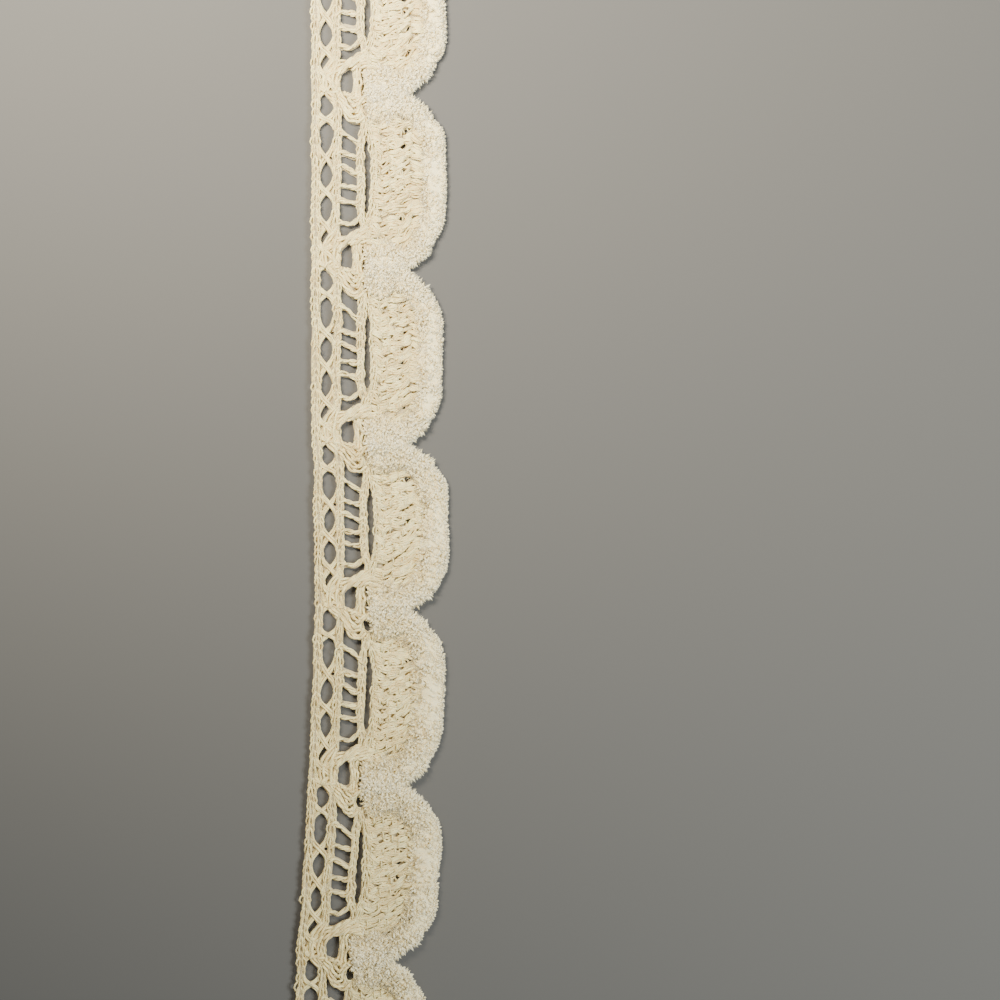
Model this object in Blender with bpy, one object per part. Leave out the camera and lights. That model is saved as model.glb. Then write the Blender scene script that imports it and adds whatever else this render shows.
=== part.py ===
"""A cut length of scalloped lace trim: an ecru cotton ground and a white chenille edging, lying flat.

Each yarn group is swept along its own path with a flat-sided section. The sweeps of one piece are merged by a
Boolean with the bed, which also presses the underside flat and makes the two straight cuts.
The trim runs along Y with its straight edge on the left and its scallops on the right.
"""

import math

import bmesh
import bpy

MM = 0.001

# Driving sizes, in mm.
REPEAT = 41.1  # one scallop, from notch to notch
SELVAGE_WIDTH = 2.3
CORD_WIDTH = 2.15
CORD_HEIGHT = 1.9
YARN_WIDTH = 1.05
YARN_HEIGHT = 1.1
ARM_WIDTH = 1.6
ARM_HEIGHT = 0.8
KNOT_WIDTH = 1.75
KNOT_HEIGHT = 2.2
STRAND_HEIGHT = 1.7
SLAB_HEIGHT = 1.17
COURSE_WIDTH = 4.0
COURSE_HEIGHT = 2.1
COURSE_PITCH = 3.43
CHENILLE_WIDTH = 5.7
CHENILLE_HEIGHT = 2.9
PARTING = 0.3  # between the cotton and the chenille
END_TRIM = 1.4  # each cut lies this far below its notch
SINK = 0.5  # how far the sweeps reach below the surface that they lie on
SELVAGE_AT = 1.05
MIDDLE_AT = 6.0
CENTRE_ACROSS = 12.92  # from the straight edge to the middle of the box
CENTRE_ALONG = 102.8  # from the second notch to the middle of the length
BED_REACH = 100.0  # the bed's half width and the height of the space above it
ROOM = 2.0  # how far the space that the parting keeps to goes past the bed
PARTING_TALLER = 1.5  # so that the parting reaches above the cotton

# Notches, in mm down from the second one, and how far the scallop below each stands out or in.
#           notch   stand_out
SCALLOPS = [
    (-41.1, 0.0),
    (0.0, 0.0),
    (41.1, -0.8),
    (82.2, -0.2),
    (121.0, -0.8),
    (161.9, 0.5),
    (203.0, 0.1),
    (243.9, 0.0),
]

# The slow sideways bend of the strip as it lies.
#        down    sideways
LEAN = [
    (-60.0, 0.0),
    (72.0, 0.0),
    (96.0, 0.7),
    (117.0, 0.9),
    (131.0, 0.5),
    (146.0, 0.0),
    (161.0, -0.7),
    (176.0, -1.5),
    (190.0, -2.4),
    (204.0, -3.5),
    (260.0, -6.7),
]

# Paths in one repeat: mm in from the straight edge, mm down from the notch.
#              across  down
INNER_CORD = [
    (12.6, -10.1),
    (11.9, -7.0),
    (10.8, -4.2),
    (10.7, 0.0),
    (10.9, 2.3),
    (11.6, 4.7),
    (12.6, 7.3),
    (11.9, 10.6),
    (11.6, 13.4),
    (11.6, 27.5),
]
BRIDGE_STRAND = [(5.8, -9.6), (4.0, -7.3), (3.4, -3.7), (4.0, -0.4), (5.8, 1.6)]
RUNGS = [
    [(6.7, 9.2), (9.0, 10.3), (11.6, 12.5)],
    [(6.7, 14.5), (11.4, 15.7)],
    [(6.7, 17.7), (11.4, 19.8)],
    [(6.7, 22.1), (11.4, 22.5)],
    [(6.7, 25.1), (11.4, 25.8)],
    [(6.7, 30.1), (8.8, 30.8), (10.2, 30.1), (11.9, 28.2)],
]
KNOTS = [
    [(5.8, 0.5), (9.0, 1.4), (12.3, 2.6)],
    [(5.8, 1.9), (9.0, 3.5), (12.8, 4.5)],
    [(6.0, 3.1), (7.9, 5.2), (10.0, 6.3), (12.8, 5.9)],
    [(5.8, 36.4), (8.3, 35.0), (10.7, 34.1), (13.3, 33.1)],
    [(8.8, 36.7), (11.4, 36.0), (14.5, 35.2)],
]
# Where the yarns between two eyelets cross, and how much wider they are at the cords.
#             down   spread
CROSSINGS = [(-0.4, 1.0), (6.3, 1.2), (15.3, 2.2), (23.3, 2.1), (31.3, 2.2), (37.4, 1.8)]
# The outline of a scallop's knitted body, under its courses.
BODY = [
    (11.9, 3.1),
    (16.1, 3.1),
    (20.3, 3.4),
    (23.6, 4.9),
    (26.2, 8.6),
    (27.2, 13.4),
    (27.2, 25.9),
    (26.2, 30.1),
    (23.6, 33.8),
    (20.3, 35.8),
    (16.1, 36.7),
    (12.3, 36.1),
    (11.9, 33.6),
    (12.8, 29.8),
    (13.8, 27.0),
    (13.9, 20.0),
    (13.9, 12.9),
    (13.0, 11.0),
    (11.9, 8.2),
]
# The raised double rows of stitches: how far across each ends, and how far it rises there.
#            reach  rise
FIRST_COURSE = 5.2
COURSES = [
    (22.0, -0.3),
    (25.5, 0.8),
    (27.0, 1.3),
    (27.0, 1.3),
    (27.0, 1.2),
    (27.0, 1.1),
    (27.0, 0.9),
    (26.2, 0.6),
    (23.5, 0.2),
    (19.0, -0.2),
]
# The middle of the chenille round one scallop and how full it is there.
#           across  down  fullness
CHENILLE = [
    (12.9, 1.2, 0.97),
    (16.0, 1.6, 1.0),
    (19.0, 2.1, 1.0),
    (21.5, 2.5, 0.97),
    (23.6, 3.2, 0.97),
    (25.4, 4.7, 1.0),
    (27.2, 7.1, 1.0),
    (28.4, 10.0, 1.02),
    (28.6, 13.0, 1.0),
    (28.7, 16.5, 0.97),
    (28.7, 23.0, 0.97),
    (28.6, 27.5, 1.0),
    (28.4, 30.7, 1.02),
    (27.2, 33.8, 1.0),
    (25.3, 36.4, 1.0),
    (23.4, 38.0, 0.97),
    (21.4, 38.6, 0.97),
    (19.0, 39.0, 1.0),
    (16.0, 39.5, 1.0),
    (12.9, 39.9, 0.97),
]
TUFT = 0.1  # how much the pile's fullness swings from tuft to tuft
TUFT_PITCH = 3.4

# Sections, as shares of the half width and of the height, with a flat underside.
ROUND = [(-1, None), (-1, 0.42), (-0.62, 0.86), (0, 1), (0.62, 0.86), (1, 0.42), (1, None)]
PLAIN = [(-1, None), (-1, 0.5), (0, 1), (1, 0.5), (1, None)]

# Colours as linear values.
ECRU = (0.708, 0.604, 0.448)
WHITE = (0.823, 0.752, 0.632)


def lean_at(down):
    """How far the strip has drifted sideways at this distance down it."""
    for (low, a), (high, b) in zip(LEAN, LEAN[1:]):
        if down <= high:
            share = max(0.0, (down - low) / (high - low))
            share = share * share * (3 - 2 * share)
            return a + (b - a) * share
    return LEAN[-1][1]


def place(index, across, down, height=0.0):
    """A point of one repeat, in metres in the part's own frame."""
    notch, out = SCALLOPS[index]
    if index + 1 < len(SCALLOPS):
        long = SCALLOPS[index + 1][0] - notch
    else:
        long = REPEAT
    s = notch + down * long / REPEAT
    wobble = 0.12 * math.sin(0.37 * s + across)
    x = across + lean_at(s) + wobble
    x += out * max(0.0, across - 14) / 17
    return (
        (x - CENTRE_ACROSS) * MM,
        (CENTRE_ALONG - s) * MM,
        height * MM,
    )


def collection(name, hidden=False):
    made = bpy.data.collections.new(name)
    made.hide_render = hidden
    bpy.context.scene.collection.children.link(made)
    return made


def section_object(name, shape, width, height, helpers):
    """The closed outline that a sweep carries along its paths."""
    data = bpy.data.curves.new(name, "CURVE")
    data.dimensions = "2D"
    spline = data.splines.new("POLY")
    spline.points.add(len(shape) - 1)
    for point, (side, up) in zip(spline.points, shape):
        z = -SINK if up is None else up * height
        point.co = (side * width / 2 * MM, z * MM, 0, 1)
    spline.use_cyclic_u = True
    made = bpy.data.objects.new(name, data)
    helpers.objects.link(made)
    made.hide_render = True
    return made


def sweep(name, paths, shape, width, height, helpers):
    """One mesh of closed sweeps of a section along paths of points (x, y, z, fullness)."""
    section = section_object(name + "_section", shape, width, height, helpers)
    data = bpy.data.curves.new(name, "CURVE")
    data.dimensions = "3D"
    data.twist_mode = "Z_UP"
    data.bevel_mode = "OBJECT"
    data.bevel_object = section
    data.use_fill_caps = True
    for path in paths:
        spline = data.splines.new("POLY")
        spline.points.add(len(path) - 1)
        for point, (x, y, z, full) in zip(spline.points, path):
            point.co = (x, y, z, 1)
            point.radius = full
    holder = bpy.data.objects.new(name, data)
    helpers.objects.link(holder)
    bpy.context.view_layer.update()
    graph = bpy.context.evaluated_depsgraph_get()
    mesh = bpy.data.meshes.new_from_object(holder.evaluated_get(graph))
    bpy.data.objects.remove(holder)
    bpy.data.objects.remove(section)
    return mesh


def slab(name, outlines, height, helpers):
    """Flat plates of the given outlines, from under the bed up to a height."""
    data = bpy.data.curves.new(name, "CURVE")
    data.dimensions = "2D"
    data.fill_mode = "BOTH"
    data.extrude = (height + SINK) / 2 * MM
    for outline in outlines:
        spline = data.splines.new("POLY")
        spline.points.add(len(outline) - 1)
        for point, (x, y, _) in zip(spline.points, outline):
            point.co = (x, y, 0, 1)
        spline.use_cyclic_u = True
    holder = bpy.data.objects.new(name, data)
    holder.location.z = (height - SINK) / 2 * MM
    helpers.objects.link(holder)
    bpy.context.view_layer.update()
    graph = bpy.context.evaluated_depsgraph_get()
    mesh = bpy.data.meshes.new_from_object(holder.evaluated_get(graph))
    mesh.transform(holder.matrix_world)
    bpy.data.objects.remove(holder)
    return mesh


def joined(name, meshes, target):
    """One object of several closed meshes, with their caps welded and faces outward."""
    bm = bmesh.new()
    for mesh in meshes:
        bm.from_mesh(mesh)
        bpy.data.meshes.remove(mesh)
    bmesh.ops.remove_doubles(bm, verts=bm.verts, dist=0.002 * MM)
    bmesh.ops.recalc_face_normals(bm, faces=bm.faces)
    data = bpy.data.meshes.new(name)
    bm.to_mesh(data)
    bm.free()
    made = bpy.data.objects.new(name, data)
    target.objects.link(made)
    return made


def boolean(obj, operation, other):
    """A Boolean step that also merges the object's own sweeps."""
    step = obj.modifiers.new(operation.title(), "BOOLEAN")
    step.operation = operation
    step.solver = "EXACT"
    step.use_self = True
    step.object = other


def material(name, colour, roughness):
    made = bpy.data.materials.new(name)
    made.use_nodes = True
    shader = made.node_tree.nodes["Principled BSDF"]
    shader.inputs["Base Color"].default_value = (*colour, 1)
    shader.inputs["Roughness"].default_value = roughness
    shader.inputs["Metallic"].default_value = 0.0
    return made


def whole(index_range, path, lift=0.0):
    """One path that runs through several repeats."""
    return [(*place(i, a, d, lift), 1.0) for i in index_range for a, d in path]


def cord_paths():
    """The three cords that run the whole length."""
    every = range(len(SCALLOPS))
    steps = [REPEAT * k / 5 for k in range(5)]
    middle = [(MIDDLE_AT + 0.15 * math.sin(2 * math.pi * d / REPEAT), d) for d in steps]
    inner = [p for i in every for p in whole([i], INNER_CORD)]
    return [whole(every, middle), inner]


def selvage_path():
    steps = [REPEAT * k / 5 for k in range(5)]
    return [whole(range(len(SCALLOPS)), [(SELVAGE_AT, d) for d in steps])]


def crossing_paths():
    """The crossed yarns between two eyelets, which spread where they meet the cords."""
    paths = []
    for i in range(len(SCALLOPS)):
        for down, spread in CROSSINGS:
            row = [(SELVAGE_AT + 0.3, spread), (3.5, 1.0), (MIDDLE_AT - 0.3, spread)]
            paths.append([(*place(i, a, down), full) for a, full in row])
    return paths


def rung_paths():
    paths = []
    for i in range(len(SCALLOPS)):
        for k, rung in enumerate(RUNGS):
            shift = 0.3 * math.sin(2.1 * i + 1.7 * k)
            lift = 0.02 * ((i + 2 * k) % 4)
            paths.append([(*place(i, a, d + shift, lift), 1.0) for a, d in rung])
    return paths


def knot_paths():
    paths = []
    for i in range(len(SCALLOPS)):
        for k, knot in enumerate(KNOTS):
            lift = 0.07 * (k % 3) + 0.01 * i
            paths.append([(*place(i, a, d, lift), 1.0) for a, d in knot])
    return paths


def bridge_paths():
    return [[(*place(i, a, d), 1.0) for a, d in BRIDGE_STRAND] for i in range(len(SCALLOPS))]


def course_paths():
    """The raised double rows of stitches, which slant up toward the scallop's edge."""
    paths = []
    for i in range(len(SCALLOPS) - 1):
        for k, (reach, rise) in enumerate(COURSES):
            d = FIRST_COURSE + k * COURSE_PITCH
            lift = 0.03 * ((2 * k + i) % 5)
            row = [(14.7, d + 0.4), (reach, d + 0.4 - rise)]
            paths.append([(*place(i, a, e, lift), 1.0) for a, e in row])
    return paths


def chenille_paths(grow=0.0):
    """The middle line of the chenille round each scallop, with its tufts."""
    paths = []
    for i in range(len(SCALLOPS) - 1):
        points = []
        run = 0.0
        for (a, d, full), (e, f, later) in zip(CHENILLE, CHENILLE[1:]):
            long = math.hypot(e - a, f - d)
            steps = max(1, round(long / (TUFT_PITCH / 2)))
            for k in range(steps):
                t = k / steps
                flat = max(0.0, min(1.0, a - 27.3))
                phase = 2 * math.pi * (run + long * t) / TUFT_PITCH + i
                swing = TUFT * (1 - flat) * math.sin(phase)
                fullness = full + (later - full) * t + swing + 2 * grow / CHENILLE_WIDTH
                lift = 0.05 * (i % 2)
                points.append((*place(i, a + (e - a) * t, d + (f - d) * t, lift), fullness))
            run += long
        a, d, full = CHENILLE[-1]
        points.append((*place(i, a, d, 0.05 * (i % 2)), full + 2 * grow / CHENILLE_WIDTH))
        paths.append(points)
    return paths


def bed_box(name, low, high, target):
    """A box between two corners given in mm."""
    bm = bmesh.new()
    bmesh.ops.create_cube(bm, size=1)
    for v in bm.verts:
        v.co = [(a + (b - a) * (c + 0.5)) * MM for a, b, c in zip(low, high, v.co)]
    data = bpy.data.meshes.new(name)
    bm.to_mesh(data)
    bm.free()
    made = bpy.data.objects.new(name, data)
    target.objects.link(made)
    made.hide_render = True
    made.display_type = "WIRE"
    return made


def main():
    for old in list(bpy.data.objects):
        bpy.data.objects.remove(old)
    helpers = collection("cutters", hidden=True)
    cotton = collection("cotton_ground")
    edging = collection("chenille_edging")

    top = CENTRE_ALONG - SCALLOPS[0][0] - END_TRIM
    bottom = CENTRE_ALONG - SCALLOPS[-1][0] - END_TRIM
    low = (-BED_REACH, bottom, 0)
    high = (BED_REACH, top, BED_REACH)
    bed = bed_box("bed", low, high, helpers)
    carved = bed_box("carved", low, high, helpers)
    room_low = (-BED_REACH - ROOM, bottom - REPEAT, -SINK / 2)
    room_high = (BED_REACH + ROOM, top + REPEAT, BED_REACH + ROOM)
    room = bed_box("room", room_low, room_high, helpers)

    cords = sweep("cords", cord_paths(), ROUND, CORD_WIDTH, CORD_HEIGHT, helpers)
    selvage = sweep("selvage", selvage_path(), ROUND, SELVAGE_WIDTH, CORD_HEIGHT, helpers)
    arms = sweep("arms", crossing_paths(), PLAIN, ARM_WIDTH, ARM_HEIGHT, helpers)
    rungs = sweep("rungs", rung_paths(), PLAIN, YARN_WIDTH, YARN_HEIGHT, helpers)
    knots = sweep("knots", knot_paths(), PLAIN, KNOT_WIDTH, KNOT_HEIGHT, helpers)
    strands = sweep("strands", bridge_paths(), PLAIN, KNOT_WIDTH, STRAND_HEIGHT, helpers)
    courses = sweep("courses", course_paths(), PLAIN, COURSE_WIDTH, COURSE_HEIGHT, helpers)
    outlines = [[place(i, a, d) for a, d in BODY] for i in range(len(SCALLOPS))]
    bodies = slab("bodies", outlines, SLAB_HEIGHT, helpers)
    parts = [cords, selvage, arms, rungs, knots, strands, courses, bodies]
    ground = joined("cotton_ground", parts, cotton)

    wide = sweep(
        "parting",
        chenille_paths(PARTING),
        ROUND,
        CHENILLE_WIDTH,
        CHENILLE_HEIGHT * PARTING_TALLER,
        helpers,
    )
    parting = joined("parting", [wide], helpers)
    parting.hide_render = True
    parting.display_type = "WIRE"
    pile = sweep(
        "pile", chenille_paths(), ROUND, CHENILLE_WIDTH, CHENILLE_HEIGHT, helpers
    )
    chenille = joined("chenille_edging", [pile], edging)

    boolean(parting, "INTERSECT", room)
    boolean(carved, "DIFFERENCE", parting)
    boolean(ground, "INTERSECT", carved)
    boolean(chenille, "INTERSECT", bed)

    ground.data.materials.append(material("ecru_cotton_yarn", ECRU, 0.9))
    chenille.data.materials.append(material("white_chenille_pile", WHITE, 0.95))


main()
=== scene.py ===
# %% [markdown]
# # Scalloped lace trim with a chenille edge
# A cut length of trim lies flat. A ground of ecru cotton yarn carries an open heading on its left
# and knitted scallops on its right, and a white chenille pile runs round every scallop. The solids
# of the part give the true outline. This lesson replaces them with the yarns themselves.

import bpy
import numpy as np
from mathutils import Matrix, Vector


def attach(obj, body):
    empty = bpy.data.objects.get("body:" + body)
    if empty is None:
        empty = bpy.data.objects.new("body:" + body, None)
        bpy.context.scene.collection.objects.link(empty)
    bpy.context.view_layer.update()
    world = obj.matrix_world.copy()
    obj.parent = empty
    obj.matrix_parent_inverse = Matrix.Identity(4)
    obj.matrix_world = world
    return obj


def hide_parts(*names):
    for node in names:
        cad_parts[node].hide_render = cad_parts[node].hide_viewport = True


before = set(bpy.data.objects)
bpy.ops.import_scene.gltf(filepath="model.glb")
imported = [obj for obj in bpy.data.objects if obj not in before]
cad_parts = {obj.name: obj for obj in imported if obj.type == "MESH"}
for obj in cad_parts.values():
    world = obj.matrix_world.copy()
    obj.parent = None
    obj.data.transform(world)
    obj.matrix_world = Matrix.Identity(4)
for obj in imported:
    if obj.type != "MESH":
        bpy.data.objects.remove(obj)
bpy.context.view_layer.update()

# %% [markdown]
# ## The strip as a map
# Lace is easiest to draw on a straight strip: how far across it a yarn is, how far along, and how
# high. One function then lays the strip as it lies on the table. It stretches each repeat to its
# own length and bends the strip sideways, so every yarn follows the same slow curves.

# %% Sizes of the strip
MM = 0.001
REPEAT = 41.1  # from notch to notch
SCALLOPS = 7
CENTRE_ACROSS, CENTRE_ALONG = 12.92, 102.8  # the place on the strip that lies at the origin
CUTS = (1.4, SCALLOPS * REPEAT + 1.4)  # where the strip is cut, in mm along it

# Where each notch lies down the table, one repeat before the cut length and two after it.
NOTCH = np.array([-82.2, -41.1, 0.0, 41.1, 82.2, 121.0, 162.4, 203.0, 243.9, 285.0, 326.1])
# How far each of their scallops stands out past an even row: all of it at the scallop's rim, nothing
# up to RIM_FROM.
STAND_OUT = np.array([0.0, 0.0, 0.0, -0.8, -0.2, -0.6, 0.4, -0.8, 0.0, 0.0, 0.0])
RIM_FROM, RIM_WIDE = 14, 17
# Places down the table, and how far to the side the strip leans at each.
LEAN_DOWN = np.array([-90.0, 72.0, 96.0, 117.0, 131.0, 146.0, 161.0, 176.0, 190.0, 204.0, 260.0])
LEAN_BY = np.array([0.0, 0.0, 0.7, 0.9, 0.5, 0.0, -0.7, -1.5, -2.4, -3.5, -6.7])
WOBBLE, WOBBLE_TURN = 0.12, 0.37  # mm to the side, and radians a mm
rng = np.random.default_rng(11)

# Small holes where the yarns part round each notch: across, along from the notch, radius at the
# first notches, radius from FOURTH on.
PARTED = [
    (12.4, 4.0, 0.4, 1.5),
    (11.9, -4.6, 0.5, 0.5),
    (11.4, -2.3, 0.6, 0.5),
    (14.0, 7.4, 0.5, 0.6),
    (10.0, 5.6, 0.5, 0.6),
    (4.6, -0.8, 0.5, 0.6),
]
FOURTH = 4


def from_hole(across, along, hole):
    """How far points lie from the nearest hole of one kind, across and along, and its radius."""
    hole_across, hole_along, before, after = hole
    notch = np.round((along - hole_along) / REPEAT)
    radius = np.where(notch < FOURTH, before, after)
    return across - hole_across, along - hole_along - REPEAT * notch, radius


def part(across, along):
    """Points moved away from the small holes.

    A distance from a hole becomes sqrt(distance^2 + radius^2 * exp(-distance^2 / 2)).
    """
    for hole in PARTED:
        x, s, radius = from_hole(across, along, hole)
        far = x**2 + s**2
        grow = np.sqrt(1 + radius**2 * np.exp(-far / 2) / np.maximum(far, 1e-4))
        across, along = across + x * (grow - 1), along + s * (grow - 1)
    return across, along


def lay(strip, scallop=None):
    """Strip point (across, along, height) to a point of the frame, all in mm.

    The small holes part the yarns first. down = along, stretched piece by piece from notch to
    notch; x = across + lean(down) + a small sine wobble + how far this scallop stands out, growing
    with across; y = centre - down. A yarn that names no scallop takes the one it lies beside.
    """
    across, along, height = np.moveaxis(np.asarray(strip, float), -1, 0)
    across, along = part(across, along)
    own = np.floor(along / REPEAT).astype(int) if scallop is None else scallop
    own = np.clip(own + 1, 0, len(NOTCH) - 1)
    down = np.interp(along, REPEAT * (np.arange(len(NOTCH)) - 1), NOTCH)
    step = np.clip(np.searchsorted(LEAN_DOWN, down) - 1, 0, len(LEAN_DOWN) - 2)
    share = (down - LEAN_DOWN[step]) / (LEAN_DOWN[step + 1] - LEAN_DOWN[step])
    share = np.clip(share, 0, 1) ** 2 * (3 - 2 * np.clip(share, 0, 1))
    lean = LEAN_BY[step] + (LEAN_BY[step + 1] - LEAN_BY[step]) * share
    x = across + lean + WOBBLE * np.sin(WOBBLE_TURN * down + across)
    x = x + STAND_OUT[own] * np.clip(across - RIM_FROM, 0, None) / RIM_WIDE
    return np.stack([x - CENTRE_ACROSS, CENTRE_ALONG - down, height], axis=-1)


print("the middle of the strip lies at", lay([16.0, 3.5 * REPEAT, 0.0]).round(1), "mm")

# %% [markdown]
# ## One tube for every yarn
# A yarn could be a curve object with a round bevel, but thousands of them are quicker as one mesh.
# The path of each yarn is smoothed, a ring of points is set square to it at every step, and the
# rings are joined. All the yarns of a group are worked out in the same few lines.


# %% Smooth paths and tubes
def smooth(points, count):
    """Catmull-Rom: a cubic through every point, its slope there half the step between neighbours."""
    points = np.asarray(points, float)
    t = np.linspace(0, points.shape[-2] - 1, count)
    i = np.clip(t.astype(int), 0, points.shape[-2] - 2)
    u = (t - i)[:, None]
    before = 2 * points[..., :1, :] - points[..., 1:2, :]
    after = 2 * points[..., -1:, :] - points[..., -2:-1, :]
    p = np.concatenate([before, points, after], axis=-2)
    a, b, c, d = (p[..., i + j, :] for j in range(4))
    bend = (2 * a - 5 * b + 4 * c - d) * u**2
    return 0.5 * (2 * b + (c - a) * u + bend + (3 * b - a - 3 * c + d) * u**3)


def unit(vectors):
    """Each vector divided by its length."""
    return vectors / np.maximum(np.linalg.norm(vectors, axis=-1, keepdims=True), 1e-9)


def tubes(paths, radius, sides=6):
    """Closed tubes along many paths at once.

    Ring point = path + radius * (cos turn * side + sin turn * up), where side is square to the
    path and level, and up is square to both. The ends are closed by one point each. The UV map
    holds the share of a turn and the length run along the path, in mm.
    """
    n, p = paths.shape[:2]
    along = unit(np.gradient(paths, axis=1))
    side = unit(np.cross(along, [1e-4, 0.0, 1.0]))
    up = np.cross(side, along)
    turn = 2 * np.pi * np.arange(sides) / sides
    ring = np.cos(turn)[:, None] * side[:, :, None] + np.sin(turn)[:, None] * up[:, :, None]
    radius = np.broadcast_to(np.asarray(radius, float), (n, p))
    rings = paths[:, :, None] + radius[..., None, None] * ring
    ends = paths[:, [0, -1]]
    points = np.concatenate([rings.reshape(n, -1, 3), ends], axis=1)
    size = p * sides + 2
    i, j = np.meshgrid(np.arange(p - 1), np.arange(sides), indexing="ij")
    i, j = i.ravel(), j.ravel()
    k = (j + 1) % sides
    quad = np.stack([i * sides + j, i * sides + k, (i + 1) * sides + k, (i + 1) * sides + j], 1)
    s = np.arange(sides)
    first = np.stack([np.full(sides, p * sides), (s + 1) % sides, s], 1)
    end = (p - 1) * sides
    last = np.stack([np.full(sides, p * sides + 1), end + s, end + (s + 1) % sides], 1)
    shift = (np.arange(n) * size)[:, None, None]
    steps = np.linalg.norm(np.diff(paths, axis=1), axis=-1)
    run = np.concatenate([np.zeros((n, 1)), np.cumsum(steps, 1)], 1)
    u = np.broadcast_to(np.stack([j, j + 1, j + 1, j], 1) / sides, (n, len(i), 4))
    v = np.stack([run[:, i], run[:, i], run[:, i + 1], run[:, i + 1]], -1)
    caps = np.zeros((n, 2 * sides, 3, 2))
    return {
        "points": points.reshape(-1, 3),
        "quads": (quad + shift).reshape(-1, 4),
        "tris": (np.concatenate([first, last]) + shift).reshape(-1, 3),
        "uv": np.concatenate([np.stack([u, v], -1).reshape(-1, 2), caps.reshape(-1, 2)]),
        "owner": np.repeat(np.arange(n), size),
    }


def piece(name, shape, finish, fields=None):
    """A mesh object from arrays in mm: its faces, its own UV map and named numbers per point."""
    mesh = bpy.data.meshes.new(name)
    quads, tris = shape["quads"], shape["tris"]
    mesh.vertices.add(len(shape["points"]))
    mesh.vertices.foreach_set("co", (shape["points"] * MM).astype(np.float32).ravel())
    loops = np.concatenate([quads.ravel(), tris.ravel()]).astype(np.int32)
    mesh.loops.add(len(loops))
    mesh.loops.foreach_set("vertex_index", loops)
    starts = np.concatenate([4 * np.arange(len(quads)), 4 * len(quads) + 3 * np.arange(len(tris))])
    mesh.polygons.add(len(starts))
    mesh.polygons.foreach_set("loop_start", starts.astype(np.int32))
    mesh.polygons.foreach_set("use_smooth", np.ones(len(starts), bool))
    mesh.update(calc_edges=True)
    if "uv" in shape:
        uv = shape["uv"].astype(np.float32).ravel()
        mesh.uv_layers.new(name="yarn").data.foreach_set("uv", uv)
    for label, values in (fields or {}).items():
        field = mesh.attributes.new(label, "FLOAT", "POINT")
        field.data.foreach_set("value", values.astype(np.float32))
    mesh.materials.append(finish)
    made = bpy.data.objects.new(name, mesh)
    bpy.context.scene.collection.objects.link(made)
    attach(made, "root")
    print(name, 2 * len(quads) + len(tris), "triangles")
    return made


# %% [markdown]
# ## Cotton yarn
# The ground is unbleached cotton, spun and plied from a few strands, and not singed, so it is matt
# and a little hairy. Light goes some way into it, which keeps its creases warm and pale. The twist
# is drawn along the yarn's own UV map, and each yarn is a shade lighter or darker than the next.


# %% Colours and the node helper
def linear(code):
    """An sRGB hex colour as linear values: ((c + 0.055) / 1.055) ^ 2.4, or c / 12.92 near black."""
    c = np.array([int(code[i : i + 2], 16) for i in (1, 3, 5)]) / 255
    return (*np.where(c > 0.04045, ((c + 0.055) / 1.055) ** 2.4, c / 12.92), 1.0)


def add(tree, kind, inputs=None, **settings):
    """One node with its own settings, its inputs set to a value or linked to a socket."""
    made = tree.nodes.new(kind)
    for label, value in settings.items():
        setattr(made, label, value)
    for label, value in (inputs or {}).items():
        if isinstance(value, bpy.types.NodeSocket):
            tree.links.new(value, made.inputs[label])
        else:
            made.inputs[label].default_value = value
    return made


def finish_tree(name):
    """A new material, its tree and its Principled shader."""
    made = bpy.data.materials.new(name)
    made.use_nodes = True
    return made, made.node_tree, made.node_tree.nodes["Principled BSDF"]


# %% Plied cotton
PATCH_MM, FUZZ_MM = 8, 0.25  # the shade's patches, the hairy surface
PLY_MM = 3.0  # along the yarn, from one ridge of the twist to the next


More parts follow.
